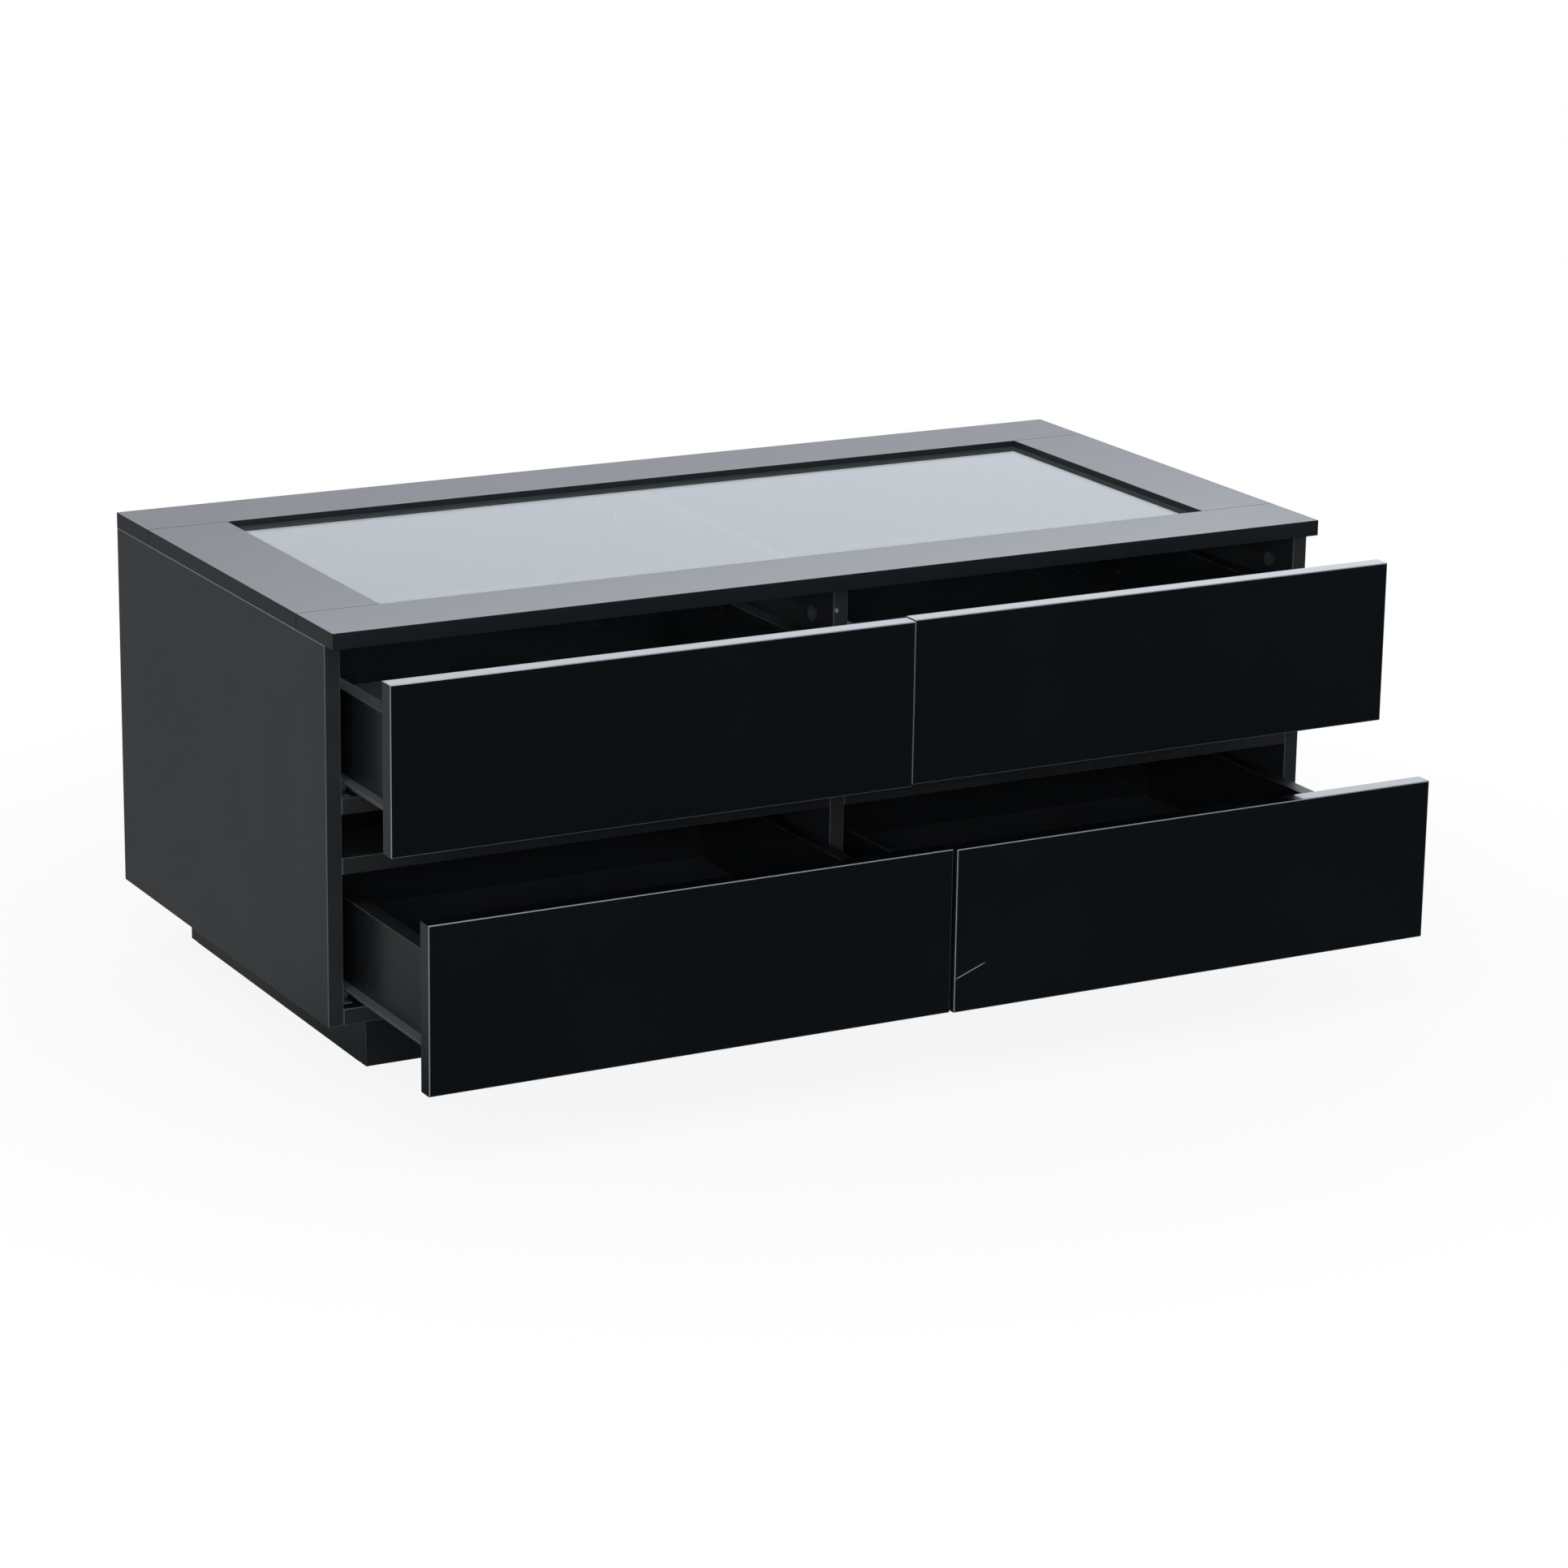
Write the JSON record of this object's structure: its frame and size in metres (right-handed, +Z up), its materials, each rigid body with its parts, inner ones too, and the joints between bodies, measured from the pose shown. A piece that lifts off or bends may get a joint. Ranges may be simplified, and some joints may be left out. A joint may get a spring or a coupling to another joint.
{
  "type": "display coffee table",
  "caption": "Low display table with a recessed glass panel in a framed top, gloss overlay drawers on roller runners, a finger-grip recess and an inset plinth.",
  "frame": {"origin": "on the floor under the middle of the top", "axes": "+X along the length, to the right seen from the drawers; -Y to the front, where the drawers open; +Z up"},
  "size_m": [1.1, 0.7635, 0.455],
  "materials": {
    "top_board": "satin black lacquer on board",
    "carcass_board": "satin black foil on board",
    "front_board": "high-gloss black lacquer on board",
    "drawer_board": "satin black foil on board",
    "drawer_base": "satin black thin board",
    "glass": "clear tempered sheet",
    "runner_steel": "dark epoxy coat on steel",
    "roller": "moulded nylon",
    "cap": "moulded cap",
    "bumper": "soft stick-on dot"
  },
  "bodies": {
    "carcass": {"top_front_rail": "top_board", "top_back_rail": "top_board", "top_left_stile": "top_board", "top_right_stile": "top_board", "glass_panel": "glass", "left_side_panel": "carcass_board", "right_side_panel": "carcass_board", "centre_partition": "carcass_board", "bottom_board": "carcass_board", "back_panel": "carcass_board", "upper_grip_rail_left": "carcass_board", "upper_grip_rail_right": "carcass_board", "lower_grip_rail_left": "carcass_board", "lower_grip_rail_right": "carcass_board", "plinth_front": "carcass_board", "plinth_back": "carcass_board", "plinth_left": "carcass_board", "plinth_centre": "carcass_board", "plinth_right": "carcass_board", "cam_locks": "cap", "partition_bumper": "bumper", "upper_left_cabinet_runners": "runner_steel", "upper_right_cabinet_runners": "runner_steel", "lower_left_cabinet_runners": "runner_steel", "lower_right_cabinet_runners": "runner_steel"},
    "upper_left_drawer": {"upper_left_front": "front_board", "upper_left_left_side": "drawer_board", "upper_left_right_side": "drawer_board", "upper_left_back": "drawer_board", "upper_left_bottom": "drawer_base", "upper_left_drawer_runners": "runner_steel"},
    "upper_left_front_roller_pair": {"upper_left_front_rollers": "roller"},
    "upper_left_rear_roller_pair": {"upper_left_rear_rollers": "roller"},
    "upper_right_drawer": {"upper_right_front": "front_board", "upper_right_left_side": "drawer_board", "upper_right_right_side": "drawer_board", "upper_right_back": "drawer_board", "upper_right_bottom": "drawer_base", "upper_right_drawer_runners": "runner_steel"},
    "upper_right_front_roller_pair": {"upper_right_front_rollers": "roller"},
    "upper_right_rear_roller_pair": {"upper_right_rear_rollers": "roller"},
    "lower_left_drawer": {"lower_left_front": "front_board", "lower_left_left_side": "drawer_board", "lower_left_right_side": "drawer_board", "lower_left_back": "drawer_board", "lower_left_bottom": "drawer_base", "lower_left_drawer_runners": "runner_steel"},
    "lower_left_front_roller_pair": {"lower_left_front_rollers": "roller"},
    "lower_left_rear_roller_pair": {"lower_left_rear_rollers": "roller"},
    "lower_right_drawer": {"lower_right_front": "front_board", "lower_right_left_side": "drawer_board", "lower_right_right_side": "drawer_board", "lower_right_back": "drawer_board", "lower_right_bottom": "drawer_base", "lower_right_drawer_runners": "runner_steel"},
    "lower_right_front_roller_pair": {"lower_right_front_rollers": "roller"},
    "lower_right_rear_roller_pair": {"lower_right_rear_rollers": "roller"}
  },
  "joints": [
    {"name": "upper_left_slide", "type": "slide", "parent": "carcass", "child": "upper_left_drawer", "axis": [0, -1, 0], "range_m": [-0.1295, 0.2105]},
    {"name": "upper_left_front_roll", "type": "hinge", "parent": "carcass", "child": "upper_left_front_roller_pair", "pos_m": [-0.271, -0.241, 0.2975], "axis": [1, 0, 0], "continuous": true},
    {"name": "upper_left_rear_roll", "type": "hinge", "parent": "upper_left_drawer", "child": "upper_left_rear_roller_pair", "pos_m": [-0.271, 0.0495, 0.297], "axis": [1, 0, 0], "continuous": true},
    {"name": "upper_right_slide", "type": "slide", "parent": "carcass", "child": "upper_right_drawer", "axis": [0, -1, 0], "range_m": [-0.124, 0.216]},
    {"name": "upper_right_front_roll", "type": "hinge", "parent": "carcass", "child": "upper_right_front_roller_pair", "pos_m": [0.271, -0.241, 0.2975], "axis": [1, 0, 0], "continuous": true},
    {"name": "upper_right_rear_roll", "type": "hinge", "parent": "upper_right_drawer", "child": "upper_right_rear_roller_pair", "pos_m": [0.271, 0.055, 0.297], "axis": [1, 0, 0], "continuous": true},
    {"name": "lower_left_slide", "type": "slide", "parent": "carcass", "child": "lower_left_drawer", "axis": [0, -1, 0], "range_m": [-0.2105, 0.1295]},
    {"name": "lower_left_front_roll", "type": "hinge", "parent": "carcass", "child": "lower_left_front_roller_pair", "pos_m": [-0.271, -0.241, 0.0925], "axis": [1, 0, 0], "continuous": true},
    {"name": "lower_left_rear_roll", "type": "hinge", "parent": "lower_left_drawer", "child": "lower_left_rear_roller_pair", "pos_m": [-0.271, -0.0315, 0.092], "axis": [1, 0, 0], "continuous": true},
    {"name": "lower_right_slide", "type": "slide", "parent": "carcass", "child": "lower_right_drawer", "axis": [0, -1, 0], "range_m": [-0.2135, 0.1265]},
    {"name": "lower_right_front_roll", "type": "hinge", "parent": "carcass", "child": "lower_right_front_roller_pair", "pos_m": [0.271, -0.241, 0.0925], "axis": [1, 0, 0], "continuous": true},
    {"name": "lower_right_rear_roll", "type": "hinge", "parent": "lower_right_drawer", "child": "lower_right_rear_roller_pair", "pos_m": [0.271, -0.0345, 0.092], "axis": [1, 0, 0], "continuous": true}
  ],
  "couplings": [
    {"joint": "upper_left_front_roll", "follows": "upper_left_slide", "rad_per_m": 166.67},
    {"joint": "upper_left_rear_roll", "follows": "upper_left_slide", "rad_per_m": 166.67},
    {"joint": "upper_right_front_roll", "follows": "upper_right_slide", "rad_per_m": 166.67},
    {"joint": "upper_right_rear_roll", "follows": "upper_right_slide", "rad_per_m": 166.67},
    {"joint": "lower_left_front_roll", "follows": "lower_left_slide", "rad_per_m": 166.67},
    {"joint": "lower_left_rear_roll", "follows": "lower_left_slide", "rad_per_m": 166.67},
    {"joint": "lower_right_front_roll", "follows": "lower_right_slide", "rad_per_m": 166.67},
    {"joint": "lower_right_rear_roll", "follows": "lower_right_slide", "rad_per_m": 166.67}
  ]
}
